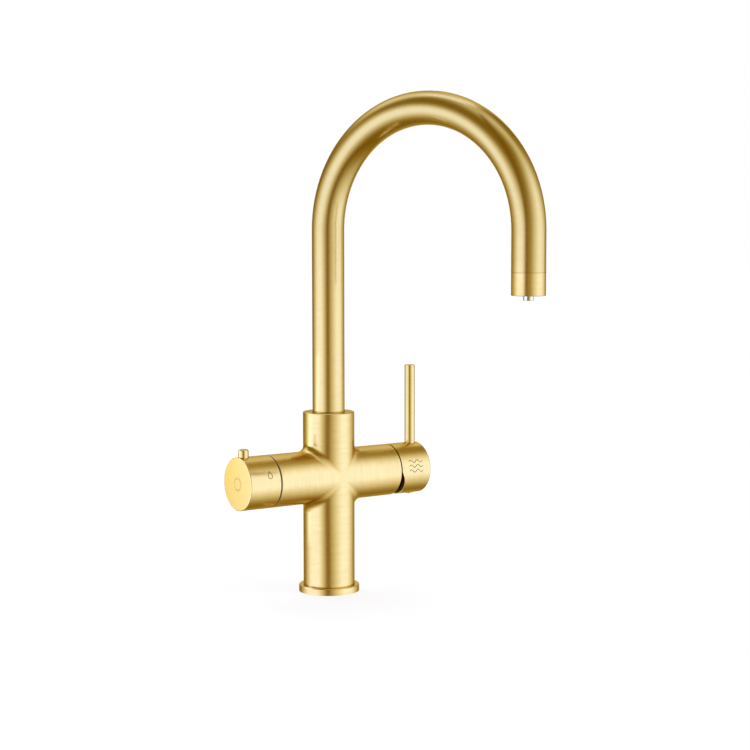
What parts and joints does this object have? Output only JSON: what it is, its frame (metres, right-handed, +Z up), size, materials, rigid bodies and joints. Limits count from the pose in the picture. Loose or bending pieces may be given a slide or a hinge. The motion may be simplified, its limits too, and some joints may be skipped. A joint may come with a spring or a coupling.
{
  "type": "boiling water tap",
  "caption": "Cross-bodied kitchen tap with a swan-neck spout, a boiling-water knob with a safety button on one arm and a mixer lever on the other.",
  "frame": {"origin": "centre of the underside, on the column's axis, at the mouth of the fixing stud hole, where the tap stands on the worktop", "axes": "+Z up along the column; X along the two arms, with the boiling knob at -X and the mixer handle at +X; -Y is the side the user stands on. At rest the spout points 18.8 degrees from -Y towards +X, as in the picture."},
  "size_m": [0.1669, 0.2059, 0.383],
  "materials": {
    "brushed_gold": "fine brushed gold coating on brass",
    "raw_brass": "machined, uncoated",
    "chrome": "polished",
    "stainless": "satin",
    "seam_black": "dark grey moulding",
    "grey_polymer": "moulded",
    "white_polymer": "low-friction moulding",
    "black_rubber": "matt",
    "silicone": "milky, food-grade",
    "ceramic": "lapped aluminium oxide ceramic"
  },
  "bodies": {
    "tap": {"tap_body": "brushed_gold", "inlet_block": "brushed_gold", "base_ring": "brushed_gold", "base_seal": "black_rubber", "collar_ring": "brushed_gold", "spout_bush": "white_polymer", "spout_washer": "white_polymer", "knob_seam_ring": "seam_black", "boiling_valve_body": "raw_brass", "boiling_valve_seal": "black_rubber", "boiling_fixed_disc": "ceramic", "mixer_cartridge_shell": "grey_polymer", "mixer_cartridge_base": "grey_polymer", "mixer_cartridge_seals": "black_rubber", "mixer_fixed_disc": "ceramic", "mixer_cartridge_nut": "raw_brass"},
    "spout": {"spout_tube": "brushed_gold", "spout_foot": "raw_brass", "spout_foot_seals": "black_rubber", "boiling_hose": "silicone", "boiling_stem": "raw_brass", "boiling_stem_seal": "black_rubber", "nozzle": "brushed_gold", "nozzle_seal": "black_rubber", "flow_former": "grey_polymer", "boiling_outlet_tube": "chrome"},
    "boiling_handle": {"boiling_knob": "brushed_gold", "knob_thumb_pin": "brushed_gold", "boiling_spindle": "raw_brass", "boiling_spindle_seal": "black_rubber", "boiling_moving_disc": "ceramic", "knob_screw": "stainless", "button_spring": "stainless"},
    "button": {"safety_button": "brushed_gold", "button_clip": "stainless"},
    "temperature_guide": {"mixer_guide": "grey_polymer", "mixer_pivot_pin": "stainless"},
    "flow_disc": {"mixer_moving_disc": "ceramic", "mixer_disc_driver": "grey_polymer"},
    "mixer_handle": {"lever_spindle": "stainless", "mixer_cap": "brushed_gold", "lever_rod": "brushed_gold", "handle_screw": "stainless", "handle_plug": "brushed_gold"}
  },
  "joints": [
    {"name": "spout_swivel", "type": "hinge", "parent": "tap", "child": "spout", "pos_m": [0, 0, 0.1404], "axis": [0, 0, 1], "continuous": true},
    {"name": "boiling_turn", "type": "hinge", "parent": "tap", "child": "boiling_handle", "pos_m": [-0.0563, 0, 0.0905], "axis": [1, 0, 0], "range_deg": [0, 90]},
    {"name": "button_press", "type": "slide", "parent": "boiling_handle", "child": "button", "axis": [1, 0, 0], "range_m": [0, 0.0025], "stiffness_N_per_m": 800, "springref_m": -0.0015, "deforming": ["button_spring"]},
    {"name": "temperature_turn", "type": "hinge", "parent": "tap", "child": "temperature_guide", "pos_m": [0.048, 0, 0.0905], "axis": [1, 0, 0], "range_deg": [-45, 45]},
    {"name": "flow_tilt", "type": "hinge", "parent": "temperature_guide", "child": "mixer_handle", "pos_m": [0.048, 0, 0.0905], "axis": [0, 1, 0], "range_deg": [0, 16]},
    {"name": "disc_slide", "type": "slide", "parent": "temperature_guide", "child": "flow_disc", "axis": [0, 0, 1], "range_m": [0, 0.004]}
  ],
  "couplings": [
    {"joint": "disc_slide", "follows": "flow_tilt", "m_per_rad": 0.014}
  ]
}
